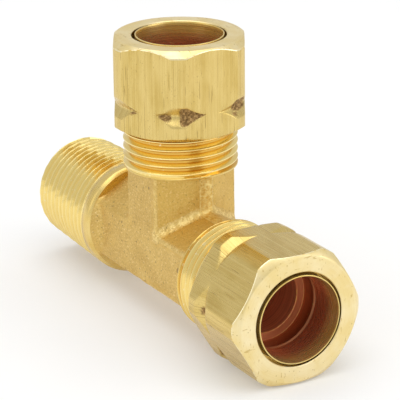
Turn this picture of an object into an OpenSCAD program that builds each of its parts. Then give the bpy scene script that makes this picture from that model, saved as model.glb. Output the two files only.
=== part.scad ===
// Brass compression tee: tube on the run, tube on the branch, tapered pipe thread on the run's other end.
// The origin is the middle of the pipe thread's small end. +X runs along the run, +Z along the branch.

/* [Tube] */
// Outside diameter of the tubes that the two ports take
tube_od = 12.7; // [11:0.05:13.2]
// Radial clearance round a tube in the body's socket
tube_socket_gap = 0.07; // [0.05:0.01:0.2]
// Radial clearance round a tube in a sleeve
tube_sleeve_gap = 0.1; // [0.05:0.01:0.25]
// Diameter of the waterways
waterway_d = 10.4; // [6:0.1:11]

/* [Tee body] */
// From the middle of the tee to the end of each tube port
port_reach = 28.83; // [28:0.01:40]
// From the middle of the tee to the small end of the pipe thread
pipe_reach = 33.2; // [30:0.1:45]
// From the middle of the tee to the shoulder where each port thread starts
shoulder_reach = 14; // [11:0.1:16]
// Thickness of the forging between its two flat faces
body_thickness = 14; // [12:0.1:16]
// Width of the flat faces
face_width = 8.6; // [6:0.1:12]
// Width of the forging at its parting line
parting_width = 15.8; // [14:0.1:17]
// Width of the trimmed flash along the parting line
flash_width = 2.1; // [1:0.1:3]
// How far the trimmed flash stands proud
flash_height = 0.2; // [0.1:0.05:0.6]
// Depth of each tube socket below its seat
socket_depth = 2.6; // [1.5:0.1:5]
// Depth of the 45 degree seat in each port's end
seat_depth = 1; // [0.6:0.05:1.2]

/* [Port thread] */
// Outside diameter of the straight port threads
port_thread_d = 17.4; // [17:0.05:18]
// Pitch of the straight port threads
port_pitch = 1.27; // [1:0.01:1.5]
// Depth of the straight port threads
port_thread_depth = 0.76; // [0.5:0.01:0.9]
// Length of the plain band between the shoulder and the first thread ridge
port_band = 0.5; // [0.3:0.1:1.5]
// Chamfer at the thread ends
thread_chamfer = 0.7; // [0.3:0.1:1]

/* [Pipe thread] */
// Outside diameter at the small end of the tapered pipe thread
pipe_thread_d = 16.8; // [16:0.05:17.5]
// Pitch of the pipe thread
pipe_pitch = 1.411; // [1:0.001:1.8]
// Depth of the pipe thread
pipe_thread_depth = 1.05; // [0.6:0.01:1.2]
// Length of the pipe thread
pipe_thread_length = 16.6; // [12:0.1:18]
// Growth in diameter for each unit of length along the taper
pipe_taper = 0.0625; // [0.04:0.0025:0.08]
// Length of the turned collar behind the pipe thread
collar_length = 2.2; // [1.5:0.1:3]
// Chamfer on the collar's edge next to the forging
collar_chamfer = 0.5; // [0.2:0.1:0.8]

/* [Nuts] */
// Width of each nut across its flats
nut_across_flats = 19.5; // [19.2:0.05:20.6]
// Diameter that the nut's corners are turned down to
nut_corner_d = 21.3; // [20:0.1:21.9]
// Length of each nut
nut_length = 14; // [12:0.1:17]
// Radial clearance between a sleeve's tail and the hole in its nut's face
tail_gap = 0.38; // [0.1:0.01:0.6]
// Thickness of the nut's end wall, in front of the sleeve's flange
nut_end_wall = 2.6; // [1.5:0.1:4]
// Diameter where the face chamfer starts
face_chamfer_d = 19.1; // [17:0.1:19.1]
// Slope of the face chamfer, from the face
face_chamfer_angle = 40; // [20:1:50]
// Depth of the chamfer at the thread end
back_chamfer = 0.8; // [0.3:0.1:1.2]
// Distance of the corner groove from the nut's thread end
groove_place = 4.1; // [3:0.1:6]
// Width of the corner groove at the corners
groove_width = 3; // [1.5:0.1:4]
// Diameter at the bottom of the corner groove
groove_root_d = 19.6; // [18:0.1:20]
// Radial clearance between a nut and the thread's ridges
thread_gap = 0.05; // [0.03:0.01:0.15]

/* [Sleeves] */
// Wall of a sleeve's tail
sleeve_wall = 0.32; // [0.25:0.01:0.45]
// Radial clearance between a sleeve's flange and the inside of its nut
flange_side_gap = 0.95; // [0.3:0.05:1.1]
// Thickness of a sleeve's flange
flange_thickness = 1.2; // [0.8:0.1:2]
// Length of a sleeve's tapered nose
nose_length = 1.9; // [1:0.1:2.5]
// How much a sleeve's nose grows in radius for each unit of length
nose_slope = 0.3; // [0.1:0.05:0.4]
// Gap along the axis between a sleeve's flange and its nut
flange_gap = 0.15; // [0.05:0.05:0.5]
// Gap along the axis between a sleeve's nose and its seat at rest
seat_gap = 0.32; // [0.1:0.01:0.6]

/* [Hidden] */
$fn = 96;
past = 1;                       // how far cutting shapes run past a surface
brass_forged = [0.80, 0.67, 0.38];
brass_turned = [0.88, 0.76, 0.42];
brass_sleeve = [0.90, 0.74, 0.48];

// Body
half_thickness = body_thickness / 2;
half_face = face_width / 2;
half_parting = parting_width / 2;
waterway_r = waterway_d / 2;
socket_r = tube_od / 2 + tube_socket_gap;
port_thread_r = port_thread_d / 2;
port_root_r = port_thread_r - port_thread_depth;
port_neck_r = 0.9 * port_root_r;       // the part of a port inside the forging
pipe_thread_r = pipe_thread_d / 2;
thread_start_r = pipe_thread_r - pipe_thread_depth;
collar_end = pipe_thread_length + collar_length;
collar_r = pipe_thread_r + pipe_taper / 2 * pipe_thread_length;
body_left = pipe_reach - collar_end;   // from the middle of the tee to the collar

// Seat, measured along its port from the middle of the tee: a 45 degree cone that
// the nose would just touch after moving in by seat_gap
sleeve_r = tube_od / 2 + tube_sleeve_gap;
nose_tip_r = sleeve_r + 0.6 * sleeve_wall;
seat_at_tip = port_reach - seat_depth;
seat_mouth_r = nose_tip_r + seat_depth;
seat_bottom = seat_at_tip - (nose_tip_r - socket_r);
tube_stop = seat_bottom - socket_depth;

// Sleeve, stood on the seat
nose_tip = seat_at_tip + seat_gap;
flange_back = nose_tip + nose_length;
flange_front = flange_back + flange_thickness;
tail_r = sleeve_r + sleeve_wall;
nose_root_r = nose_tip_r + nose_slope * nose_length;

// Nut, held off the sleeve's flange
nut_face = flange_front + flange_gap + nut_end_wall;
nut_back = nut_face - nut_length;
half_flats = nut_across_flats / 2;
nut_corner_r = nut_corner_d / 2;
nut_bore_r = tail_r + tail_gap;
thread_bore_r = port_thread_r + thread_gap;
flange_r = thread_bore_r - flange_side_gap;
face_chamfer_r = face_chamfer_d / 2;
face_chamfer_drop = (nut_corner_r - face_chamfer_r) * tan(face_chamfer_angle);
groove_root_r = groove_root_d / 2;

// Outline of one side of a thread made of ridges: points of [along, radius] for each ridge in turn.
// The radius grows by grow for each unit along.
function ridges(start, pitch, count, crest_r, depth, grow) = [
    for (i = [0 : count - 1])
        for (p = [[0, -depth], [0.125, -depth], [0.44, 0], [0.56, 0], [0.875, -depth]])
            [start + (i + p[0]) * pitch, crest_r + p[1] + grow * (i + p[0]) * pitch]
];

function ridge_count(length, pitch) = floor(length / pitch);

// Turns shapes drawn along +Z so that they lie along +X
module along_run() {
    translate([pipe_reach, 0, 0]) rotate([0, 90, 0]) children();
}

// Puts shapes drawn along +Z on the branch
module along_branch() {
    translate([pipe_reach, 0, 0]) children();
}

// Cross-section of the forging: flat faces at +-Y, flanks that slope out to the parting line
module forged_section() {
    polygon([
        [-half_face, -half_thickness], [half_face, -half_thickness],
        [half_parting, -flash_width / 2], [half_parting + flash_height, -flash_width / 2],
        [half_parting + flash_height, flash_width / 2], [half_parting, flash_width / 2],
        [half_face, half_thickness], [-half_face, half_thickness],
        [-half_parting, flash_width / 2], [-half_parting - flash_height, flash_width / 2],
        [-half_parting - flash_height, -flash_width / 2], [-half_parting, -flash_width / 2]
    ]);
}

// One tube port's outside, from the shoulder to the port's end
module port_outside() {
    first = shoulder_reach + port_band;
    count = ridge_count(port_reach - thread_chamfer - first, port_pitch);
    last = first + count * port_pitch;
    rotate_extrude()
        polygon(concat(
            [[0, 0], [port_neck_r, 0], [port_neck_r, shoulder_reach - port_band],
             [port_thread_r, shoulder_reach - port_band], [port_thread_r, shoulder_reach],
             [port_root_r, shoulder_reach + 0.6 * port_band]],
            [for (p = ridges(first, port_pitch, count, port_thread_r, port_thread_depth, 0)) [p[1], p[0]]],
            [[port_root_r, last], [port_root_r, port_reach], [0, port_reach]]
        ));
}

// Holes of one tube port: seat, socket and waterway
module port_holes() {
    rotate_extrude()
        polygon([[0, tube_stop], [socket_r, tube_stop], [socket_r, seat_bottom],
                 [seat_mouth_r + past, port_reach + past], [0, port_reach + past]]);
    cylinder(h = port_reach, r = waterway_r);
}

// The pipe end's outside, drawn from its small end at z = 0 towards the middle
module pipe_outside() {
    grow = pipe_taper / 2;
    first = thread_chamfer;
    count = ridge_count(pipe_thread_length - first, pipe_pitch);
    last = first + count * pipe_pitch;
    rotate_extrude()
        polygon(concat(
            [[0, 0], [thread_start_r, 0]],
            [for (p = ridges(first, pipe_pitch, count, pipe_thread_r, pipe_thread_depth, grow))
                [p[1], p[0]]],
            [[collar_r - pipe_thread_depth, last], [collar_r, pipe_thread_length],
             [collar_r, collar_end - collar_chamfer], [collar_r - collar_chamfer, collar_end],
             [0, collar_end]]
        ));
}

module tee_body() {
    color(brass_forged)
    difference() {
        union() {
            translate([collar_end, 0, 0]) rotate([90, 0, 90])
                linear_extrude(body_left + shoulder_reach - port_band) rotate(90) forged_section();
            along_branch() linear_extrude(shoulder_reach - port_band) forged_section();
            along_run() port_outside();
            along_branch() port_outside();
            rotate([0, 90, 0]) pipe_outside();
        }
        along_run() port_holes();
        along_branch() port_holes();
        rotate([0, 90, 0]) translate([0, 0, -past]) cylinder(h = pipe_reach + past, r = waterway_r);
    }
}

// Outline of the turned limits of a nut: both chamfers, the corner diameter and the groove
module nut_turning() {
    groove_middle = nut_back + groove_place;
    rotate_extrude()
        polygon([
            [0, nut_back], [half_flats - back_chamfer / 2, nut_back],
            [nut_corner_r, nut_back + back_chamfer],
            [nut_corner_r, groove_middle - groove_width / 2], [groove_root_r, groove_middle],
            [nut_corner_r, groove_middle + groove_width / 2],
            [nut_corner_r, nut_face - face_chamfer_drop], [face_chamfer_r, nut_face],
            [0, nut_face]
        ]);
}

// A nut on a port along +Z. turn is the angle of its flats.
module nut(turn) {
    color(brass_turned)
    difference() {
        intersection() {
            translate([0, 0, nut_back]) rotate(turn)
                cylinder(h = nut_length, r = half_flats / cos(30), $fn = 6);
            nut_turning();
        }
        rotate_extrude()
            polygon([[0, nut_back - past], [thread_bore_r + past, nut_back - past],
                     [thread_bore_r, nut_back], [thread_bore_r, nut_face - nut_end_wall],
                     [0, nut_face - nut_end_wall]]);
        cylinder(h = nut_face + past, r = nut_bore_r);
    }
}

// A flanged sleeve on a port along +Z
module sleeve() {
    color(brass_sleeve)
    rotate_extrude()
        polygon([
            [sleeve_r, nose_tip], [nose_tip_r, nose_tip], [nose_root_r, flange_back],
            [flange_r, flange_back], [flange_r, flange_front],
            [tail_r, flange_front], [tail_r, nut_face], [sleeve_r, nut_face]
        ]);
}

// The run nut has a flat underneath
module run_nut() {
    along_run() nut(30);
}

module run_sleeve() {
    along_run() sleeve();
}

// The branch nut has a corner towards the run port's -Y side
module branch_nut() {
    along_branch() nut(-30);
}

module branch_sleeve() {
    along_branch() sleeve();
}

tee_body();
run_nut();
run_sleeve();
branch_nut();
branch_sleeve();
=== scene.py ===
import math
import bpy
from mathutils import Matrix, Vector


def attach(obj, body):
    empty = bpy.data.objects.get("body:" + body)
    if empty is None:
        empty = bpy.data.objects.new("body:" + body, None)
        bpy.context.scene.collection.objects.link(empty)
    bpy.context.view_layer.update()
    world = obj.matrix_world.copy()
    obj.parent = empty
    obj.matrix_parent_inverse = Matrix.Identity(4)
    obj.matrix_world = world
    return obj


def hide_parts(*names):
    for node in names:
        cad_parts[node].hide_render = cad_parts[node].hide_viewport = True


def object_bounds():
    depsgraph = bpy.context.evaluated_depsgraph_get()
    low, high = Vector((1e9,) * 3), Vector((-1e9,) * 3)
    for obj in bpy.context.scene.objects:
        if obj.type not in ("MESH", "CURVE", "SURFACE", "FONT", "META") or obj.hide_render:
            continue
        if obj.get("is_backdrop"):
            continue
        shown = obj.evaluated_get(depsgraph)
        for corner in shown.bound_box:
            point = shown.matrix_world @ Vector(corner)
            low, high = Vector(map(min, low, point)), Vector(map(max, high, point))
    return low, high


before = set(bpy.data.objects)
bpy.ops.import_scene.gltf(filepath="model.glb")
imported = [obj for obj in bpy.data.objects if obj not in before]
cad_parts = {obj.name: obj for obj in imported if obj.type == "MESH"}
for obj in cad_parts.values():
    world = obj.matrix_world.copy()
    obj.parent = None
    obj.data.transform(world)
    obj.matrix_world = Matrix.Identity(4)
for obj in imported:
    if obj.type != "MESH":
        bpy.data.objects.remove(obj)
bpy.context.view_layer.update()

import types
import bmesh
import bpy
import numpy as np
from mathutils import Matrix

mm = 0.001
weldDistance = 0.00000035
print("frame loaded")

# Each arm of the tee has its own axes: a along the arm from the middle of the tee, and a ring
# round it, with c in the plane of the three arms and s across that plane. All sizes are in mm.
teeMiddle = 33.2        # along the run, from the pipe thread's small end
armSign = dict(run=-1, pipe=1, branch=1)   # which way round a right-hand thread climbs


def onArm(arm, a, c, s):
    # a point given along and across an arm, in the frame's own x, y and z
    if arm == "run":
        return np.stack([teeMiddle + a, s, c], -1)
    if arm == "pipe":
        return np.stack([teeMiddle - a, s, c], -1)
    return np.stack([teeMiddle + c, s, a], -1)


def fromMiddle(arm, a, c, s):
    # the same point as three arrays x, y and z, measured from the middle of the tee
    return np.moveaxis(onArm(arm, a, c, s) - np.array([teeMiddle, 0, 0]), -1, 0)


def softMin(p, q, width):
    # the smaller of two fields, with the corner between them rounded over the width
    h = np.clip(1 - np.abs(p - q) / width, 0, 1)
    return np.minimum(p, q) - h * h * width / 4


def softMax(p, q, width):
    return -softMin(-p, -q, width)


def smooth(start, end, t):
    # 0 at start and 1 at end, an S curve between, level outside; start may be above end
    u = np.clip((t - start) / (end - start), 0, 1)
    return u * u * (3 - 2 * u)


def waves(x, y, z, size, seed, count=18):
    # uneven ground: the mean of sine waves in scattered directions, each about size long
    rng = np.random.RandomState(seed)
    total = 0
    for _ in range(count):
        d = rng.normal(size=3)
        d *= 2 * math.pi / (size * rng.uniform(0.7, 1.6) * np.linalg.norm(d))
        total = total + np.sin(x * d[0] + y * d[1] + z * d[2] + rng.uniform(0, 6.28))
    return total / math.sqrt(count)


def ringAngles(quarter, keys):
    # angles round a ring, closer together at the keys (angle, width, gain in degrees),
    # and the same in all four quarters so that the arms' rings meet point for point
    t = np.linspace(0, 90, 2000)
    weight = 1 + sum(gain * np.exp(-((t - key) / width) ** 2) for key, width, gain in keys)
    total = np.concatenate([[0], np.cumsum((weight[1:] + weight[:-1]) / 2)])
    q = np.interp(np.linspace(0, total[-1], quarter + 1), total, t)
    half = np.concatenate([q, 180 - q[-2::-1]])
    return np.radians(np.concatenate([half, 360 - half[-2::-1]]))


class Sheets:
    # grids of points that are welded into one closed skin; each point also carries a
    # pattern place, along the piece and round it, and a mark for stains and patches
    def __init__(self):
        self.points = []
        self.places = []
        self.marks = []
        self.quads = []
        self.kinds = []
        self.count = 0

    def add(self, points, along, around, kind=0, mark=0.0):
        shape = points.shape[:2]
        rows, cols = shape
        index = self.count + np.arange(rows * cols).reshape(shape)
        quads = np.stack([index[:-1, :-1], index[:-1, 1:], index[1:, 1:], index[1:, :-1]], -1)
        place = np.stack([np.broadcast_to(along, shape), np.broadcast_to(around, shape)], -1)
        self.points.append(points.reshape(-1, 3))
        self.places.append(place.reshape(-1, 2))
        self.marks.append(np.broadcast_to(mark, shape).reshape(-1))
        self.quads.append(quads.reshape(-1, 4))
        self.kinds.append(np.full((rows - 1) * (cols - 1), kind))
        self.count += rows * cols

    def build(self, name, materials, sharp=32):
        points = np.concatenate(self.points) * mm
        quads = np.concatenate(self.quads)
        places = np.concatenate(self.places)
        mesh = bpy.data.meshes.new(name)
        mesh.from_pydata(points.tolist(), [], quads.tolist())
        layer = mesh.uv_layers.new(name="place")
        layer.data.foreach_set("uv", places[quads.reshape(-1)].astype(np.float32).reshape(-1))
        mark = mesh.attributes.new("mark", "FLOAT", "POINT")
        mark.data.foreach_set("value", np.concatenate(self.marks).astype(np.float32))
        for material in materials:
            mesh.materials.append(material)
        kinds = np.concatenate(self.kinds).astype(np.int32)
        mesh.polygons.foreach_set("material_index", kinds)
        work = bmesh.new()
        work.from_mesh(mesh)
        bmesh.ops.remove_doubles(work, verts=work.verts, dist=weldDistance)
        bmesh.ops.dissolve_degenerate(work, dist=0.0000001, edges=work.edges)
        loose = [v for v in work.verts if not v.link_faces]
        bmesh.ops.delete(work, geom=loose, context="VERTS")
        bmesh.ops.recalc_face_normals(work, faces=work.faces)
        openEdges = sum(1 for e in work.edges if len(e.link_faces) != 2)
        work.to_mesh(mesh)
        work.free()
        mesh.shade_smooth()
        mesh.set_sharp_from_angle(angle=math.radians(sharp))
        piece = bpy.data.objects.new(name + "_finish", mesh)
        bpy.context.scene.collection.objects.link(piece)
        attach(piece, name)
        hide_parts(name)
        triangles = sum(len(p.vertices) - 2 for p in mesh.polygons)
        print(name, "built:", triangles, "triangles,", openEdges, "open edges")


def profileRows(points, steps):
    # a line of [along, radius] corners with steps[i] spans between corner i and the next
    a = [points[0][0]]
    r = [points[0][1]]
    for (a0, r0), (a1, r1), n in zip(points[:-1], points[1:], steps):
        t = np.arange(1, n + 1) / n
        a.extend(a0 + (a1 - a0) * t)
        r.extend(r0 + (r1 - r0) * t)
    return np.array(a), np.array(r)


def grids(rows, count):
    # rows of (along, radius), each a number or one value per angle, as two grids
    along = np.stack([np.broadcast_to(a, count) for a, _ in rows])
    radius = np.stack([np.broadcast_to(r, count) for _, r in rows])
    return along, radius


def putRing(sheets, arm, a, r, angles, kind, mark=0.0):
    # a profile carried round an arm: each point is at a along the arm and at r from its
    # axis, in the direction of the angle; a and r are one value per row, or a whole grid
    shape = (len(a), len(angles))
    a = np.broadcast_to(a if np.ndim(a) == 2 else a[:, None], shape)
    r = np.broadcast_to(r if np.ndim(r) == 2 else r[:, None], shape)
    points = onArm(arm, a, r * np.cos(angles), r * np.sin(angles))
    sheets.add(points, a + r, r * angles[None, :], kind, mark)


def spiralRows(angles, sign, start, end, pitch, phases):
    # rows that climb with the thread: along the arm, each is one pitch before the start, plus its
    # number of pitches and the turn so far, times the pitch, held between the start and the end
    turns = int(math.ceil((end - start) / pitch)) + 1
    pitches = (np.arange(turns + 1)[:, None] + np.array(phases)[None, :]).reshape(-1)
    pitches = pitches[pitches <= turns + 1e-9]
    turn = angles / (2 * math.pi) if sign > 0 else 1 - angles / (2 * math.pi)
    a = start + (pitches[:, None] + turn[None, :] - 1) * pitch
    a = np.where(a < start + 0.01, start, a)
    return np.where(a > end - 0.01, end, a)


def threadDepth(a, angles, sign, start, pitch, section):
    # how far below the crest the thread is: the section, read at the part of a pitch that
    # is left after taking the turn so far from the distance along
    phase = np.mod((a - start) / pitch - sign * angles[None, :] / (2 * math.pi), 1)
    parts, depths = zip(*section)
    return np.interp(phase, parts, depths)


def nodeKit(name):
    # a new material with short calls for the nodes that the finishes are made of
    material = bpy.data.materials.new(name)
    material.use_nodes = True
    nodes = material.node_tree.nodes
    links = material.node_tree.links

    def put(target, value):
        if isinstance(value, bpy.types.NodeSocket):
            links.new(value, target)
        elif value is not None:
            target.default_value = value

    def calc(operation, p, q=None):
        n = nodes.new("ShaderNodeMath")
        n.operation = operation
        put(n.inputs[0], p)
        put(n.inputs[1], q)
        return n.outputs[0]

    def ramp(value, *stops):
        n = nodes.new("ShaderNodeValToRGB")
        while len(n.color_ramp.elements) < len(stops):
            n.color_ramp.elements.new(0.5)
        for element, (position, colour) in zip(n.color_ramp.elements, stops):
            element.position = position
            rgb = colour if hasattr(colour, "__len__") else (colour, colour, colour)
            element.color = (*rgb, 1)
        put(n.inputs[0], value)
        return n.outputs[0]

    def mix(amount, p, q):
        n = nodes.new("ShaderNodeMix")
        n.data_type = "RGBA"
        put(n.inputs[0], amount)
        put(n.inputs[6], (*p, 1) if isinstance(p, tuple) else p)
        put(n.inputs[7], (*q, 1) if isinstance(q, tuple) else q)
        return n.outputs[2]

    def noise(vector, scale, detail=3.0, rough=0.55):
        n = nodes.new("ShaderNodeTexNoise")
        put(n.inputs["Vector"], vector)
        n.inputs["Scale"].default_value = scale
        n.inputs["Detail"].default_value = detail
        n.inputs["Roughness"].default_value = rough
        return n.outputs[0]

    def drawnOut(vector, scale, detail, rough=0.55, move=(0, 0, 0)):
        # noise on a pattern that is scaled by itself each way
        n = nodes.new("ShaderNodeMapping")
        put(n.inputs["Vector"], vector)
        n.inputs["Scale"].default_value = scale
        n.inputs["Location"].default_value = move
        return noise(n.outputs[0], 1.0, detail, rough)

    def spots(vector, scale):
        n = nodes.new("ShaderNodeTexVoronoi")
        put(n.inputs["Vector"], vector)
        n.inputs["Scale"].default_value = scale
        return n.outputs["Distance"]

    def bump(height, strength, distance, normal=None):
        n = nodes.new("ShaderNodeBump")
        n.inputs["Strength"].default_value = strength
        n.inputs["Distance"].default_value = distance
        put(n.inputs["Height"], height)
        put(n.inputs["Normal"], normal)
        return n.outputs[0]

    shader = nodes["Principled BSDF"]

    def finish(colour, roughness, normal, metallic=1.0):
        put(shader.inputs["Base Color"], colour)
        put(shader.inputs["Roughness"], roughness)
        put(shader.inputs["Normal"], normal)
        shader.inputs["Metallic"].default_value = metallic
        return material

    place = nodes.new("ShaderNodeUVMap")
    place.uv_map = "place"
    coordinates = nodes.new("ShaderNodeTexCoord")
    mark = nodes.new("ShaderNodeAttribute")
    mark.attribute_name = "mark"
    return types.SimpleNamespace(
        calc=calc, ramp=ramp, mix=mix, noise=noise, drawnOut=drawnOut, spots=spots, bump=bump,
        finish=finish, shader=shader, material=material, place=place.outputs[0],
        object=coordinates.outputs["Object"], mark=mark.outputs["Fac"])


brassLooks = dict(
    pale=(0.86, 0.67, 0.27),
    gold=(0.79, 0.57, 0.17),
    deep=(0.68, 0.43, 0.10),
    olive=(0.55, 0.42, 0.16),
    faceDark=(0.88, 0.71, 0.33),
    faceLight=(0.95, 0.82, 0.50),
    scuff=(0.55, 0.37, 0.10),
    # edgeHighlight: a painted highlight colour for the nuts' broken edges
    edgeHighlight=(0.98, 0.88, 0.58),
    # depthShadeDark and depthShadeLight: a painted reddish shade deep inside the bores and sleeves
    depthShadeDark=(0.66, 0.25, 0.12),
    depthShadeLight=(0.82, 0.37, 0.19),
    # seat and waterway: painted shade colours for the surfaces deep inside the ports
    seat=(0.38, 0.15, 0.075),
    waterway=(0.80, 0.33, 0.17),
)

drawnLooks = dict(
    streakDark=(0.60, 0.42, 0.12),
    streakMiddle=(0.68, 0.50, 0.16),
    streakLight=(0.78, 0.60, 0.23),
    cloudLight=(0.84, 0.65, 0.26),
    cloudDark=(0.56, 0.38, 0.10),
    scratch=(0.33, 0.21, 0.06),
    pit=(0.38, 0.26, 0.08),
    tornDark=(0.20, 0.12, 0.05),
    tornMiddle=(0.42, 0.27, 0.11),
    tornLight=(0.78, 0.56, 0.26),
)


def drawnBrass():
    # hexagon bar: streaks along the bar, scratches, small pits and dark torn patches
    k = nodeKit("drawnBrass")
    t = drawnLooks
    streak = k.drawnOut(k.place, (0.05, 4.2, 1), 5.0, 0.6)
    cloud = k.drawnOut(k.place, (0.12, 0.45, 1), 4.0, 0.6, (3, 7, 0))
    colour = k.ramp(streak, (0.25, t["streakDark"]), (0.5, t["streakMiddle"]), (0.75, t["streakLight"]))
    colour = k.mix(k.ramp(cloud, (0.4, 0.0), (0.62, 0.45)), colour, t["cloudLight"])
    colour = k.mix(k.ramp(cloud, (0.28, 0.45), (0.42, 0.0)), colour, t["cloudDark"])
    shortLine = k.drawnOut(k.place, (0.16, 4.6, 1), 2.0, move=(11, 2, 0))
    longLine = k.drawnOut(k.place, (0.02, 3.1, 1), 2.0, move=(4, 8, 0))
    shortMask = k.ramp(shortLine, (0.665, 0.0), (0.69, 0.9))
    longMask = k.ramp(longLine, (0.665, 0.0), (0.68, 0.65))
    scratch = k.calc("MAXIMUM", shortMask, longMask)
    colour = k.mix(scratch, colour, t["scratch"])
    pit = k.drawnOut(k.place, (3.0, 4.5, 1), 2.0, move=(5, 1, 0))
    pitZone = k.drawnOut(k.place, (0.18, 0.25, 1), 1.0, move=(1, 9, 0))
    pitMask = k.ramp(pit, (0.655, 0.0), (0.70, 1.0))
    pitMask = k.calc("MULTIPLY", pitMask, k.ramp(pitZone, (0.45, 0.1), (0.62, 1.0)))
    colour = k.mix(pitMask, colour, t["pit"])
    torn = k.noise(k.object, 2600.0, 4.0, 0.7)
    tornColour = k.ramp(torn, (0.34, t["tornDark"]), (0.5, t["tornMiddle"]), (0.66, t["tornLight"]))
    colour = k.mix(k.mark, colour, tornColour)
    roughness = k.ramp(streak, (0.3, 0.36), (0.6, 0.24))
    roughness = k.mix(k.mark, roughness, (0.75, 0.75, 0.75))
    fine = k.drawnOut(k.place, (0.12, 14.0, 1), 3.0)
    raised = k.calc("ADD", fine, streak)
    sunk = k.calc("ADD", scratch, pitMask)
    normal = k.bump(k.calc("SUBTRACT", raised, sunk), 0.35, 0.00003)
    normal = k.bump(k.calc("MULTIPLY", torn, k.mark), 0.9, 0.00018, normal)
    return k.finish(colour, roughness, normal)


def turnedBrass(name, ring, roughness, grooves=0.3, metallic=1.0, look="plain", shadeColour=None):
    # lathe work: fine rings across the tool's path, and soft stains; a "face" is paler and
    # scuffed, an "inside" takes a painted reddish shade by its mark, deeper into the bore, and
    # shadeColour paints a shade all over
    k = nodeKit(name)
    face = look == "face"
    t = brassLooks
    darkest = t["faceDark"] if face else t["gold"]
    palest = t["faceLight"] if face else t["pale"]
    rings = k.drawnOut(k.place, (ring, 0.02, 1), 4.0, 0.7)
    colour = k.ramp(k.noise(k.object, 260.0, 3.0), (0.38, darkest), (0.66, palest))
    ringMask = k.ramp(rings, (0.35, 0.10 if face else 0.35), (0.6, 0.0))
    colour = k.mix(ringMask, colour, t["deep"])
    if face:
        scuff = k.drawnOut(k.object, (500, 3200, 900), 2.0)
        crossScuff = k.drawnOut(k.object, (3400, 500, 2600), 2.0, move=(4, 1, 2))
        scuff = k.ramp(scuff, (0.66, 0.0), (0.71, 0.6))
        crossScuff = k.ramp(crossScuff, (0.67, 0.0), (0.72, 0.6))
        colour = k.mix(k.calc("MAXIMUM", scuff, crossScuff), colour, t["scuff"])
    if shadeColour:
        darker = tuple(0.7 * v for v in shadeColour)
        lighter = tuple(min(1.3 * v, 0.95) for v in shadeColour)
        colour = k.ramp(rings, (0.35, darker), (0.65, lighter))
    # painted shade: darker and redder where the mark is high, deeper inside
    if look == "inside":
        depthShade = k.drawnOut(k.place, (0.8, 0.06, 1), 3.0)
        depthShade = k.ramp(depthShade, (0.35, t["depthShadeDark"]), (0.65, t["depthShadeLight"]))
        colour = k.mix(k.mark, colour, depthShade)
    speck = k.ramp(k.spots(k.object, 900.0), (0.06, 0.7), (0.11, 0.0))
    colour = k.mix(speck, colour, t["olive"])
    smoothest, roughest = roughness
    normal = k.bump(k.calc("SUBTRACT", rings, speck), grooves, 0.00003)
    return k.finish(colour, k.ramp(rings, (0.3, roughest), (0.65, smoothest)), normal, metallic)


threadLooks = dict(
    crest=(0.98, 0.80, 0.34),
    flank=(0.93, 0.71, 0.24),
    middle=(0.93, 0.70, 0.24),
    low=(0.88, 0.58, 0.14),
    root=(0.74, 0.44, 0.09),
    fleck=(0.97, 0.88, 0.6),
)


def threadBrass():
    # cut thread: pale on the ridges, with a painted shade, deep orange, growing into the valleys by the
    # depth mark, and faint lines along the cut
    k = nodeKit("threadBrass")
    t = threadLooks
    line = k.drawnOut(k.place, (5.0, 0.05, 1), 3.0, 0.6)
    fleck = k.noise(k.object, 1400.0, 2.0)
    colour = k.ramp(k.mark, (0.0, t["crest"]), (0.15, t["flank"]), (0.5, t["middle"]),
                    (0.9, t["low"]), (1.0, t["root"]))
    colour = k.mix(k.ramp(line, (0.36, 0.35), (0.55, 0.0)), colour, brassLooks["deep"])
    colour = k.mix(k.ramp(fleck, (0.66, 0.0), (0.74, 0.5)), colour, t["fleck"])
    normal = k.bump(k.calc("ADD", line, fleck), 0.3, 0.00003)
    return k.finish(colour, k.ramp(line, (0.3, 0.28), (0.65, 0.14)), normal)


def highlightEdgeBrass():
    # a broken edge with a painted highlight: pale along its length, with small dull nicks
    k = nodeKit("highlightEdgeBrass")
    nicks = k.noise(k.object, 900.0, 3.0)
    colour = k.ramp(nicks, (0.36, brassLooks["gold"]), (0.48, brassLooks["edgeHighlight"]))
    roughness = k.ramp(nicks, (0.36, 0.5), (0.5, 0.28))
    return k.finish(colour, roughness, k.bump(nicks, 0.3, 0.00004))


forgedLooks = dict(
    cloudDark=(0.66, 0.45, 0.135),
    cloudLight=(0.75, 0.525, 0.165),
    sandLight=(0.97, 0.77, 0.40),
    sandDark=(0.42, 0.28, 0.09),
    grit=(0.30, 0.20, 0.07),
    dent=(0.42, 0.28, 0.10),
    # flank is a painted shade for the flanks, paintedLight a painted highlight for the edges and inside
    # corners
    flank=(0.72, 0.475, 0.11),
    paintedLight=(0.97, 0.76, 0.32),
)


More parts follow.
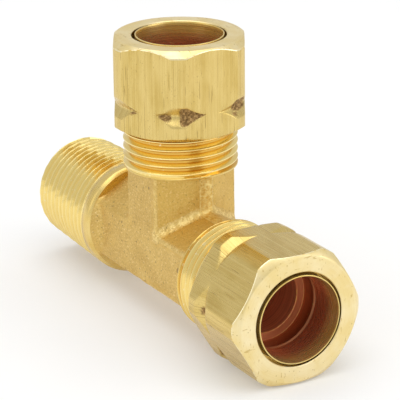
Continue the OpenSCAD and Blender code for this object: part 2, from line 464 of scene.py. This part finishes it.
def forgedBrass():
    # blasted forging skin: a sandy grain of bright and dark specks, a little scale in the hollows.
    # The mark is positive on the trimmed flash and negative elsewhere, where it paints light: a
    # highlight, bright and grainy, on the edges and inside corners, and a shade, a deeper gold, on the
    # flanks between them
    k = nodeKit("forgedBrass")
    t = forgedLooks
    sand = k.noise(k.object, 3600.0, 3.0, 0.6)
    cloud = k.noise(k.object, 240.0, 3.0)
    grit = k.noise(k.object, 2300.0, 2.0, 0.5)
    cut = k.noise(k.object, 1500.0, 3.0, 0.8)
    dent = k.ramp(k.noise(k.object, 800.0, 2.0), (0.25, 1.0), (0.30, 0.0))
    colour = k.ramp(cloud, (0.35, t["cloudDark"]), (0.65, t["cloudLight"]))
    colour = k.mix(k.ramp(sand, (0.56, 0.0), (0.70, 0.8)), colour, t["sandLight"])
    colour = k.mix(k.ramp(sand, (0.30, 0.75), (0.43, 0.0)), colour, t["sandDark"])
    colour = k.mix(k.ramp(grit, (0.29, 0.85), (0.35, 0.0)), colour, t["grit"])
    colour = k.mix(dent, colour, t["dent"])
    flash = k.calc("MAXIMUM", k.mark, 0.0)
    paintedLight = k.calc("MULTIPLY", k.calc("MINIMUM", k.mark, 0.0), -1.0)
    # painted shade: the flanks, where the weight is near 0.3, turn a deeper gold
    colour = k.mix(k.ramp(paintedLight, (0.0, 0.0), (0.28, 0.55), (0.42, 0.0)), colour, t["flank"])
    # painted highlight on the edges and inside corners, broken up by the noise
    edgeHighlightMask = k.ramp(paintedLight, (0.42, 0.0), (0.8, 0.9))
    edgeHighlightMask = k.calc("MULTIPLY", edgeHighlightMask, k.ramp(cut, (0.45, 0.05), (0.55, 1.0)))
    colour = k.mix(edgeHighlightMask, colour, t["paintedLight"])
    flashColour = k.ramp(cut, (0.4, brassLooks["deep"]), (0.6, brassLooks["pale"]))
    colour = k.mix(flash, colour, flashColour)
    grain = k.calc("SUBTRACT", k.calc("ADD", sand, grit), dent)
    normal = k.bump(grain, 0.7, 0.00010)
    normal = k.bump(k.calc("MULTIPLY", cut, k.calc("ABSOLUTE", k.mark)), 0.9, 0.00016, normal)
    return k.finish(colour, k.ramp(cloud, (0.3, 0.55), (0.7, 0.45)), normal)


drawn = drawnBrass()
turned = turnedBrass("turnedBrass", 7.0, (0.22, 0.36))
faceBrass = turnedBrass("faceBrass", 6.0, (0.34, 0.48), 0.15, look="face")
forged = forgedBrass()
boreBrass = turnedBrass("boreBrass", 4.0, (0.42, 0.55), 0.3, 0.82, "inside")
sleeveBrass = turnedBrass("sleeveBrass", 3.2, (0.22, 0.34), 1.0, 0.82, "inside")
threadMetal = threadBrass()
brokenEdge = highlightEdgeBrass()
# the seat and the waterway are painted all over in shade colours
seatBrass = turnedBrass("seatBrass", 5.0, (0.4, 0.5), shadeColour=brassLooks["seat"])
waterwayBrass = turnedBrass("waterwayBrass", 3.0, (0.5, 0.6), metallic=0.6,
                            shadeColour=brassLooks["waterway"])
print("finishes made")

tee = dict(
    halfThickness=7.0,      # to the flat faces
    halfFace=4.3,           # half width of the flat faces
    halfParting=7.9,        # half width at the parting line
    flankNormal=(0.8556, 0.5177),   # direction of the sloping flanks: across the bar, and outwards
    flashHalf=1.1,          # half width of the trimmed flash
    flashHeight=0.18,
    crotch=1.2,             # softness of the inside corners between the arms
    edge=0.35,              # softness of the flat faces' edges
    flankSoft=0.5,          # softness of the flanks' edges
    flareRadius=7.0,        # cone from the forging up to the collar
    flareRise=1.42,
    flareLength=2.0,
    waviness=0.02,
    bore=5.2,
    shoulder=13.7,          # where the port shoulders start
    portStart=14.0,         # port thread
    portEnd=28.83,
    portLead=28.1,          # where the end's chamfer reaches the crest
    portCrest=8.7,
    portDepth=0.76,
    portPitch=1.27,
    seatMouth=7.64,
    seatBottom=27.6,
    socket=6.42,
    tubeStop=25.0,
    collarFace=14.4,        # collar behind the pipe thread
    collarEnd=16.6,
    collarRadius=8.915,
    pipeCrest=8.4,          # at the thread's small end
    pipeDepth=1.05,
    pipePitch=1.411,
    pipeTaper=0.03125,      # of the radius
    pipeReach=teeMiddle,
    pipeTip=8.0,
    pipeMouth=5.6,
    chatter=0.03,           # depth of the die's marks on the pipe thread
    chatterCount=26,
    shadeStart=33,          # the pipe bore's painted shade grows inwards from here,
    shadeFull=20,           # to here
)

# one pitch of each thread: part of the pitch, and depth below the crest, or for the nut's
# inside thread the height above its root
portSection = [(0, 0.76), (0.115, 0.76), (0.15, 0.70), (0.42, 0.03), (0.45, 0),
               (0.55, 0), (0.58, 0.03), (0.85, 0.70), (0.885, 0.76), (1, 0.76)]
pipeSection = [(0, 1.05), (0.07, 1.05), (0.10, 0.98), (0.43, 0.04), (0.46, 0),
               (0.54, 0), (0.57, 0.04), (0.90, 0.98), (0.93, 1.05), (1, 1.05)]
nutSection = [(0, 0.70), (0.11, 0.70), (0.40, 0), (0.60, 0), (0.89, 0.70), (1, 0.70)]
portPhases = [part for part, _ in portSection[:-1]]
pipePhases = [part for part, _ in pipeSection[:-1]]
nutPhases = [0, 0.11, 0.25, 0.40, 0.60, 0.75, 0.89]


def flankPlane(w, ay):
    # distance outside the sloping flank, at w across the bar and ay from its middle plane
    across, outwards = tee["flankNormal"]
    return across * (w - tee["halfFace"]) + outwards * (ay - tee["halfThickness"])


def forging(x, y, z):
    # the forging as a field, negative inside: two bars of the same six-sided section, one along the
    # run and one up the branch, softly joined, cut by the flat faces, with a flare to the collar
    t = tee
    ay = np.abs(y)
    flash = t["flashHeight"] * (1 - smooth(t["flashHalf"] - 0.12, t["flashHalf"] + 0.12, ay))
    flash = flash * (1 + 0.35 * waves(x, y, z, 1.1, 5))

    def bar(w):
        return softMax(w - t["halfParting"] - flash, flankPlane(w, ay), t["flankSoft"])

    branch = softMax(bar(np.abs(x)), -z, t["flankSoft"])
    arms = softMin(bar(np.abs(z)), branch, t["crotch"])
    body = softMax(arms, ay - t["halfThickness"], t["edge"])
    up = np.clip(x + t["collarFace"], 0, None)
    cone = t["flareRadius"] + t["flareRise"] * (1 - up / t["flareLength"]) ** 1.3
    flare = np.where(up < t["flareLength"], cone, t["flareRadius"] - 2.5 * (up - t["flareLength"]))
    flare = np.sqrt(y * y + z * z) - flare + 1.6 * smooth(4.6, 5.8, np.abs(z))
    return softMin(body, flare, 0.2) + t["waviness"] * waves(x, y, z, 3.2, 2)


def paintedLightWeights(x, y, z):
    # weights of painted light: 0.3 on the flanks, which paints shade, rising to 0.6 on the flat faces'
    # edges and 0.8 in the inside corners, which paint a highlight: each is where two of the forging's
    # surfaces are both close by. Less on the pipe's side
    inset = tee["halfThickness"] - np.abs(y)
    along = flankPlane(np.abs(z), np.abs(y))
    upward = softMax(flankPlane(np.abs(x), np.abs(y)), -z, tee["flankSoft"])
    nearest = np.abs(np.minimum(along, upward))
    flank = smooth(0.9, 0.2, nearest) * smooth(0.05, 0.3, inset)
    edge = smooth(0.9, 0.1, np.abs(inset)) * smooth(0.9, 0.1, nearest)
    corner = smooth(1.5, 0.4, np.abs(along)) * smooth(1.5, 0.4, np.abs(upward)) * (z > 0)
    paintedLight = np.maximum(0.3 * flank, np.maximum(0.6 * edge, 0.8 * corner))
    return paintedLight * (0.15 + 0.85 * smooth(0, 3, x))


def forgedMark(arm, a, r):
    # up to 1 on the trimmed flash, and elsewhere minus the painted light weights: shade on the flanks,
    # highlight on the edges and corners
    s = r * np.sin(bodyAngles)
    c = r * np.cos(bodyAngles)
    flash = (1 - smooth(0.95, 1.2, np.abs(s))) * (np.abs(c) > 3)
    return np.where(flash > 0, flash, -paintedLightWeights(*fromMiddle(arm, a, c, s)))


def halve(field, low, high):
    # the distance where a field changes sign, by halving
    for _ in range(40):
        middle = (low + high) / 2
        outside = field(middle) > 0
        high = np.where(outside, middle, high)
        low = np.where(outside, low, middle)
    return (low + high) / 2


bodyAngles = ringAngles(40, [(7.8, 2.2, 2.2), (58.4, 3.5, 2.2)])


def armMeeting(arm):
    # how steeply each direction of the arm's ring meets its neighbours: the plane between two arms
    # at right angles is a = c; opposite arms meet at a = 0
    co = np.cos(bodyAngles)
    co = np.where(np.abs(co) < 1e-9, 0, co)
    return np.abs(co) if arm == "branch" else np.clip(co, 0, None)


def armSkin(arm, end, rows):
    # the forged skin of one arm: rows from its meeting with the other arms out to a = end, each
    # point at the distance from the arm's axis where the forging's field is zero
    co, si = np.cos(bodyAngles), np.sin(bodyAngles)
    meet = armMeeting(arm)
    least, most = 3.0, 14.0

    def alongMeeting(r):
        return forging(*fromMiddle(arm, r * meet, r * co, r * si))

    first = halve(alongMeeting, np.full_like(co, least), np.full_like(co, most))
    t = np.linspace(0, 1, rows)[1:, None] ** 1.25
    a0 = (first * meet)[None, :]
    a = a0 + (end - a0) * t

    def acrossArm(r):
        return forging(*fromMiddle(arm, a, r * co, r * si))

    top = np.where(meet > 1e-6, a / np.maximum(meet, 1e-6), most)
    r = halve(acrossArm, np.full_like(a, least), np.minimum(top, most))
    return np.concatenate([a0, a]), np.concatenate([first[None, :], r])


def portArm(sheets, arm, burr):
    # one tube port, from the forging out to its end and back down the inside: each surface is a
    # profile carried round the arm, and the thread's radius is the crest less the thread's depth
    t = tee
    count = len(bodyAngles)
    start, end, crest = t["portStart"], t["portEnd"], t["portCrest"]
    a, r = armSkin(arm, t["shoulder"], 36)
    putRing(sheets, arm, a, r, bodyAngles, 0, forgedMark(arm, a, r))
    # shoulder ring, its forging side left a little ragged
    edge = crest - 0.05 + 0.03 * burr
    rows = [
        (t["shoulder"], r[-1]),
        (t["shoulder"] + 0.05 * burr, 0.4 * r[-1] + 0.6 * edge),
        (t["shoulder"] + 0.03 + 0.07 * burr, edge),
        (t["shoulder"] + 0.12 + 0.04 * burr, crest),
        (start - 0.05, crest),
        (start, crest - 0.04),
    ]
    putRing(sheets, arm, *grids(rows, count), bodyAngles, 1)
    a = spiralRows(bodyAngles, armSign[arm], start, end, t["portPitch"], portPhases)
    depth = threadDepth(a, bodyAngles, armSign[arm], start, t["portPitch"], portSection)
    r = crest - depth * smooth(start, start + 0.5, a) - 0.04 * (1 - smooth(start, start + 0.1, a))
    r = np.minimum(r, crest - np.clip(a - t["portLead"], 0, None))
    r[-1] = r[-1].min()
    # the mark is the thread's depth, which paints shade into the valleys
    putRing(sheets, arm, a, r, bodyAngles, 3, depth / t["portDepth"])
    # end face, seat, socket, tube stop and waterway
    mouth, socket, stop, bore = t["seatMouth"], t["socket"], t["tubeStop"], t["bore"]
    seat = [(end, r[-1, 0]), (end, mouth), (end - 1.0, mouth - 1.0), (t["seatBottom"], socket)]
    step = [(stop + 0.05, socket), (stop, socket - 0.05), (stop, bore + 0.1), (stop - 0.1, bore)]
    a, r = profileRows(seat + step, [1, 6, 2, 12, 1, 5, 1])
    socketRows = 1 + 6 + 2 + 12
    putRing(sheets, arm, a[:socketRows + 1], r[:socketRows + 1], bodyAngles, 4)
    # the tube stop's step, in full painted shade
    putRing(sheets, arm, a[socketRows:], r[socketRows:], bodyAngles, 2, 1.0)
    putBore(sheets, arm, stop - 0.1, 18, 5)


def putBore(sheets, arm, start, rows, kind, depthShade=None):
    # a plain bore from the start down to where it meets the other arms' bores
    meet = armMeeting(arm)
    part = np.linspace(0, 1, rows)[:, None]
    a = start + (tee["bore"] * meet[None, :] - start) * part
    # depthShade gives where the painted shade starts and where it is full
    mark = 0.0 if depthShade is None else smooth(*depthShade, a)
    putRing(sheets, arm, a, np.full_like(a, tee["bore"]), bodyAngles, kind, mark)


def pipeArm(sheets):
    # the pipe arm: forging, collar, tapered thread, end face and bore. The crest's radius grows by
    # the taper towards the collar, and the thread's radius is the crest less depth and chatter
    t = tee
    count = len(bodyAngles)
    face, start, end, collar = t["collarFace"], t["collarEnd"], t["pipeReach"], t["collarRadius"]
    a, r = armSkin("pipe", face, 36)
    putRing(sheets, "pipe", a, r, bodyAngles, 0, forgedMark("pipe", a, r))
    rows = [(face, r[-1])]
    for rise, drop in ((0, 0.465), (0.12, 0.355), (0.42, 0.055), (0.52, 0.01), (1.3, 0), (2.1, 0)):
        rows.append((face + rise, collar - drop))
    rows.append((start, t["pipeCrest"] + t["pipeTaper"] * (end - start) - 0.06))
    putRing(sheets, "pipe", *grids(rows, count), bodyAngles, 1)
    a = spiralRows(bodyAngles, armSign["pipe"], start, end, t["pipePitch"], pipePhases)
    depth = threadDepth(a, bodyAngles, armSign["pipe"], start, t["pipePitch"], pipeSection)
    crest = t["pipeCrest"] + t["pipeTaper"] * (end - a)
    r = crest - depth * smooth(start, start + 0.5, a) - 0.06 * (1 - smooth(start, start + 0.1, a))
    r = np.minimum(r, t["pipeTip"] + 1.0 * (end - a))
    # the die's chatter: shallow facets along each ridge, shifted from turn to turn
    facets = np.sin(t["chatterCount"] * bodyAngles[None, :] + 2.3 * a)
    facets = 1 + facets * smooth(start + 0.1, start + 0.9, a) * smooth(end - 0.1, end - 0.7, a)
    facets = facets * smooth(start, start + 0.3, a) * smooth(end, end - 0.2, a)
    r = r - t["chatter"] * facets * (1 - 0.5 * depth / t["pipeDepth"])
    # the mark is the thread's depth, which paints shade into the valleys, less deep on the pipe
    putRing(sheets, "pipe", a, r, bodyAngles, 3, 0.6 * depth / t["pipeDepth"])
    part = np.array([0, 0.3, 0.6, 0.85, 1.0])[:, None]
    r = r[-1][None, :] + (t["pipeMouth"] - r[-1][None, :]) * part
    putRing(sheets, "pipe", np.full_like(r, end), r, bodyAngles, 1)
    a, r = profileRows([(end, t["pipeMouth"]), (end - 0.4, t["bore"])], [2])
    putRing(sheets, "pipe", a, r, bodyAngles, 2)
    putBore(sheets, "pipe", end - 0.4, 22, 2, (t["shadeStart"], t["shadeFull"]))


def teeBody():
    # two tube ports and the pipe arm, welded where their skins and bores meet
    sheets = Sheets()
    rng = np.random.RandomState(4)
    ragged = np.append(rng.uniform(-1, 1, 60), 0)
    burr = np.interp(bodyAngles, np.linspace(0, 2 * math.pi, 61), ragged)
    burr[-1] = burr[0]
    portArm(sheets, "run", burr)
    portArm(sheets, "branch", burr)
    pipeArm(sheets)
    sheets.build("tee_body",
                 [forged, turned, boreBrass, threadMetal, seatBrass, waterwayBrass])


nut = dict(
    face=34.0,
    back=20.0,
    halfFlats=9.75,
    cornerRadius=10.65,
    faceEdge=9.55,          # face chamfer: where it starts,
    faceSlope=0.84,         # and its drop per unit of radius
    backEdge=9.35,
    backSlope=0.615,
    groove=24.1,            # middle of the groove round the corners
    grooveHalf=1.5,
    grooveRoot=9.765,
    bore=7.15,
    endWall=2.6,
    edgeSoft=0.13,
    relief=31.0,            # where the inside thread ends
    threadRoot=8.75,
    threadMouth=8.9,
    # torn patches in the groove: angle and half angle round the nut, then middle, half height
    # and squareness, the heights as parts of the groove's half width
    branchPits=[
        (-19.0, 10.8, 0.0, 0.95, 6), (-42.5, 6.0, -0.18, 0.30, 2.2), (34.0, 12.0, 0.32, 0.70, 4),
        (-73.5, 3.0, 0.35, 0.22, 2), (-73.0, 3.2, -0.22, 0.20, 2), (24.0, 3.0, -0.55, 0.18, 2),
        (84.0, 9.0, -0.3, 0.5, 3), (140.0, 8.0, 0.3, 0.5, 3), (220.0, 8.0, -0.1, 0.7, 4)],
    runPits=[
        (-91.0, 3.5, -0.2, 0.30, 2.2), (38.0, 6.0, -0.4, 0.4, 3), (80.0, 6.0, 0.3, 0.5, 3),
        (152.0, 9.0, -0.1, 0.6, 4), (221.0, 8.0, 0.0, 0.6, 3)],
)


def nutAngles():
    # degrees round a nut: the same steps on all six sides, closer together at the corners
    half = [0, 3, 6, 8.5, 11, 13.5, 15.8, 17.8, 19.5, 21, 22.2, 23.1, 23.73, 24.3, 25.0, 26.2, 27.6, 28.8]
    side = np.array(half + [30.0] + [60 - h for h in half[:0:-1]])
    return np.concatenate([side + 60 * i for i in range(6)] + [[360.0]])


def grooveRise(q, root=0.03):
    # 0 at the groove's root and 1 at its edges: a V with a rounded root
    return (math.sqrt(q * q + root) - math.sqrt(root)) / (math.sqrt(1 + root) - math.sqrt(root))


def nutRows(hull):
    # a nut as rows down its outside, each a fraction of the way through one feature at every angle,
    # so that the chamfers, the groove and the turned corners all end on a row or a column. The hull
    # is the radius of the hexagon at each angle; each chamfer drops by its slope times the radius
    # past its start, and the groove's width grows with the hull's height above its root
    t = nut
    soft = t["edgeSoft"]
    faceDrop = (hull - t["faceEdge"]) * t["faceSlope"]
    backDrop = (hull - t["backEdge"]) * t["backSlope"]
    rise = (hull - t["grooveRoot"]) / (t["cornerRadius"] - t["grooveRoot"])
    wide = np.maximum(t["grooveHalf"] * rise, 0)
    inGroove = wide > 0.08
    wide = np.maximum(wide, 0.08)
    rows = []
    for q in (0.0, 0.06, 0.2, 0.4, 0.6, 0.8, 0.93):
        # the chamfer bulges a little, as a form tool leaves it
        bulge = 0.2 * q * (1 - q) * (hull - t["faceEdge"])
        lip = 0.02 if q == 0 else 0
        radius = t["faceEdge"] + q * (hull - t["faceEdge"]) + bulge - lip
        rows.append((t["face"] - q * faceDrop - lip, radius))
    rows.append((t["face"] - faceDrop, hull - 0.055))
    rows.append((t["face"] - faceDrop - soft, hull))
    top = t["face"] - faceDrop - soft
    above = t["groove"] + wide + soft
    for q in np.linspace(0, 1, 12)[1:]:
        rows.append((top + (above - top) * q, hull))
    for q in (1.0, 0.85, 0.7, 0.5, 0.35, 0.2, 0.1, 0, -0.1, -0.2, -0.35, -0.5, -0.7, -0.85, -1.0):
        floor = t["grooveRoot"] + (hull - t["grooveRoot"]) * grooveRise(q)
        lip = 0.03 if abs(q) == 1.0 else 0
        rows.append((t["groove"] + q * wide, np.where(inGroove, np.minimum(floor, hull) - lip, hull)))
    below = t["groove"] - wide - soft
    bottom = t["back"] + backDrop + soft
    for q in np.linspace(0, 1, 6):
        rows.append((below + (bottom - below) * q, hull))
    for q in (1.0, 0.8, 0.5, 0.2, 0.0):
        lip = 0.03 if q == 1.0 else 0
        rows.append((t["back"] + q * backDrop, t["backEdge"] + q * (hull - t["backEdge"]) - lip))
    a, r = grids(rows, len(hull))
    return a, r, wide, inGroove


def tornPatches(a, flat, wide, inGroove, pits):
    # 1 inside each patch and 0 outside: the sum of the distances round and along from its middle,
    # as parts of its half sizes and raised to its squareness, is below 1
    mark = np.zeros_like(a)
    height = (a - nut["groove"]) / nut["grooveHalf"]
    inside = (np.abs(a - nut["groove"]) < 0.93 * wide[None, :]) * inGroove[None, :]
    for angle, halfAngle, middle, halfHeight, power in pits:
        away = np.mod(flat - angle + 180, 360) - 180
        reach = np.abs(away / halfAngle)[None, :] ** power
        reach = reach + np.abs((height - middle) / halfHeight) ** power
        mark = np.maximum(mark, smooth(1.15, 0.85, reach) * inside)
    return mark


def nutSkin(name, arm, pits, seed):
    # the outside rows, then the face and bore, the inside thread and the back, each a profile
    # carried round the port's axis; the inside thread's radius is its root less its height
    t = nut
    flat = nutAngles()
    delta = np.radians(np.mod(flat + 30, 60) - 30)
    angles = np.radians(flat)
    flatIndex = np.floor(np.mod(flat + 30, 360) / 60)
    hexagon = t["halfFlats"] / np.cos(delta)
    hull = softMin(hexagon, np.full_like(hexagon, t["cornerRadius"]), 0.10)
    across = t["halfFlats"] * np.tan(delta) + 13.0 * flatIndex + 5 * seed
    a, r, wide, inGroove = nutRows(hull)
    mark = tornPatches(a, flat, wide, inGroove, pits)
    x, y, z = np.moveaxis(onArm(arm, a, r * np.cos(angles), r * np.sin(angles)), -1, 0)
    r = r - mark * (0.12 + 0.06 * waves(x, y, z, 0.5, 20 + seed))
    # nicks on the edge of the thread end
    nick = np.clip(waves(x, y, z, 0.7, 30 + seed) - 0.6, 0, 1)
    r = r - 0.2 * nick * smooth(t["back"] + 0.7, t["back"] + 0.05, a)
    points = onArm(arm, a, r * np.cos(angles), r * np.sin(angles))
    around = r * angles
    chamfer = slice(0, 8)
    # the broken edge between the chamfer and the flats takes the painted edge highlight
    broken = slice(7, 9)
    flats = slice(8, None)
    sheets = Sheets()
    sheets.add(points[chamfer], r[chamfer], around[chamfer], 2)
    sheets.add(points[broken], r[broken], around[broken], 3)
    sheets.add(points[flats], a[flats], across, 0, mark[flats])
    face, bore, root = t["face"], t["bore"], t["threadRoot"]
    rim = [(face - 0.02, t["faceEdge"] - 0.02), (face, t["faceEdge"] - 0.10), (face, bore + 0.12)]
    wall = [(face - 0.12, bore), (face - t["endWall"], bore), (face - t["endWall"], root)]
    fa, fr = profileRows(rim + wall + [(t["relief"], root)], [1, 8, 2, 8, 3, 1])
    faceRows = 1 + 8 + 2
    putRing(sheets, arm, fa[:faceRows + 1], fr[:faceRows + 1], angles, 2)
    putRing(sheets, arm, fa[faceRows:], fr[faceRows:], angles, 1)
    # inside thread, in step with the port's own
    sign, pitch = armSign[arm], tee["portPitch"]
    turn = np.mod(angles - angles[0], 2 * math.pi + 1e-12)
    ia = spiralRows(turn, sign, t["back"], t["relief"], pitch, nutPhases)
    height = threadDepth(ia, angles, sign, tee["portStart"], pitch, nutSection)
    ir = root - height * (1 - smooth(t["relief"] - 0.6, t["relief"] - 0.05, ia))
    ir = np.maximum(ir, t["threadMouth"] - (ia - t["back"]))
    putRing(sheets, arm, ia, ir, angles, 1)
    back = [(t["back"], r[-1]), (t["back"], t["threadMouth"] + 0.1), (t["back"], t["threadMouth"])]
    putRing(sheets, arm, *grids(back, len(angles)), angles, 1)
    sheets.build(name, [drawn, turned, faceBrass, brokenEdge], 20)


sleeve = dict(
    inner=6.45,
    outer=6.74,
    lean=(-0.05, 0.11),     # how far the tail lies to one side in the nut
    tip=28.15,
    back=30.05,             # flange
    front=31.25,
    end=34.0,
    flange=7.8,
    noseTip=6.642,
    noseRoot=7.212,
)


def sleeveSkin(name, arm):
    # a flanged sleeve: one section turned round the port's axis, its rim rolled over, and its
    # tail moved a little to one side, as a loose sleeve lies in its nut
    t = sleeve
    angles = np.linspace(0, 2 * math.pi, 161)
    inner, outer, flange, end = t["inner"], t["outer"], t["flange"], t["end"]
    nose = [(t["tip"], inner), (t["tip"], t["noseTip"]), (t["back"], t["noseRoot"])]
    disc = [(t["back"], flange - 0.1), (t["back"] + 0.1, flange), (t["front"] - 0.1, flange),
            (t["front"], flange - 0.1), (t["front"], outer + 0.1)]
    tail = [(t["front"] + 0.1, outer), (end - 0.09, outer), (end - 0.03, outer - 0.03)]
    rim = [(end, outer - 0.09), (end, inner + 0.11), (end - 0.06, inner + 0.08)]
    inside = [(end - 0.4, inner + 0.03), (end - 1.2, inner), (t["tip"], inner)]
    steps = [2, 6, 3, 1, 4, 1, 3, 1, 10, 1, 1, 2, 1, 2, 4, 20]
    a, r = profileRows(nose + disc + tail + rim + inside, steps)
    # painted shade on the inside wall, growing deeper from the rim
    depthShade = smooth(inner + 0.08, inner + 0.02, r) * smooth(end - 1.0, end - 3.8, a)
    aside = smooth(t["front"], end - 0.5, a)[:, None]
    c = r[:, None] * np.cos(angles) + t["lean"][0] * aside
    s = r[:, None] * np.sin(angles) + t["lean"][1] * aside
    points = onArm(arm, a[:, None] + 0 * c, c, s)
    sheets = Sheets()
    sheets.add(points, (a + r)[:, None], r[:, None] * angles, 0, depthShade[:, None])
    sheets.build(name, [sleeveBrass])


teeBody()
nutSkin("branch_nut", "branch", nut["branchPits"], 1)
nutSkin("run_nut", "run", nut["runPits"], 2)
sleeveSkin("run_sleeve", "run")
sleeveSkin("branch_sleeve", "branch")

# the studio's sizes are in metres, and its places are from the middle of the tee
studio = dict(
    floorDrop=0.0003,       # below the object
    floorHalf=3.0,
    floorDark=(0.69, 0.69, 0.688),
    floorLight=(0.70, 0.70, 0.698),
    floorGlow=0.24,
    world=0.72,
    lights=dict(            # place, size and power in watts
        overhead=((0.05, -0.05, 0.75), (0.9, 0.9), 2.9),
        left=((-0.1, -0.8, 0.35), (0.7, 0.5), 0.6),
        right=((0.6, 0.5, 0.3), (0.5, 0.5), 1.05),
    ),
    cameraPlace=(0.285754, -0.159183, 0.125841),
    cameraAzimuth=0.517,    # radians
    cameraElevation=0.347,
    cameraRoll=-0.0107,
    cameraLens=204.65,
)
centre = np.array([teeMiddle * mm, 0, 0])


def putAt(item, right, up, back, place):
    # turns an item's own right, up and back to the given directions, and moves it to the place
    m = np.eye(4)
    m[:3, 0], m[:3, 1], m[:3, 2], m[:3, 3] = right, up, back, place
    item.matrix_world = Matrix(m.tolist())
    bpy.context.scene.collection.objects.link(item)


def floorPlane(z):
    # a level square, pale and slightly glowing so that it stays white
    half = studio["floorHalf"]
    corners = [(-half, -half, z), (half, -half, z), (half, half, z), (-half, half, z)]
    mesh = bpy.data.meshes.new("floor")
    mesh.from_pydata(corners, [], [(0, 1, 2, 3)])
    floor = bpy.data.objects.new("floor", mesh)
    bpy.context.scene.collection.objects.link(floor)
    k = nodeKit("paleFloor")
    grain = k.noise(k.object, 40.0, 2.0)
    colour = k.ramp(grain, (0.3, studio["floorDark"]), (0.7, studio["floorLight"]))
    k.shader.inputs["Emission Color"].default_value = (1, 1, 1, 1)
    k.shader.inputs["Emission Strength"].default_value = studio["floorGlow"]
    mesh.materials.append(k.finish(colour, 0.9, None, 0.0))
    floor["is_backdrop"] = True


def softLight(name, offset, size, power):
    # a flat lamp that faces the middle of the tee
    data = bpy.data.lights.new(name, "AREA")
    data.shape = "RECTANGLE"
    data.size, data.size_y = size
    data.energy = power
    offset = np.array(offset)
    back = offset / np.linalg.norm(offset)
    level = np.cross([0, 0, 1.0] if abs(back[2]) < 0.95 else [0, 1.0, 0], back)
    level /= np.linalg.norm(level)
    light = bpy.data.objects.new(name, data)
    putAt(light, level, np.cross(back, level), back, centre + offset)


def camera():
    # looks back along its azimuth and elevation from its place, and is rolled a little
    t = studio
    data = bpy.data.cameras.new("camera")
    data.lens = t["cameraLens"]
    data.sensor_width = 36.0
    data.sensor_fit = "HORIZONTAL"
    data.clip_start = 0.01
    az, el, roll = t["cameraAzimuth"], t["cameraElevation"], t["cameraRoll"]
    back = np.array([math.cos(az) * math.cos(el), -math.sin(az) * math.cos(el), math.sin(el)])
    level = np.array([math.sin(az), math.cos(az), 0])
    rise = np.cross(back, level)
    right = math.cos(roll) * level + math.sin(roll) * rise
    up = -math.sin(roll) * level + math.cos(roll) * rise
    view = bpy.data.objects.new("camera", data)
    putAt(view, right, up, back, centre + np.array(t["cameraPlace"]))
    bpy.context.scene.camera = view


floorPlane(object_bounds()[0][2] - studio["floorDrop"])
for name, (offset, size, power) in studio["lights"].items():
    softLight(name, offset, size, power)
world = bpy.data.worlds.new("studio")
world.use_nodes = True
background = world.node_tree.nodes["Background"]
background.inputs["Color"].default_value = (1, 1, 1, 1)
background.inputs["Strength"].default_value = studio["world"]
bpy.context.scene.world = world
bpy.context.scene.view_settings.view_transform = "Standard"
camera()
print("studio set")
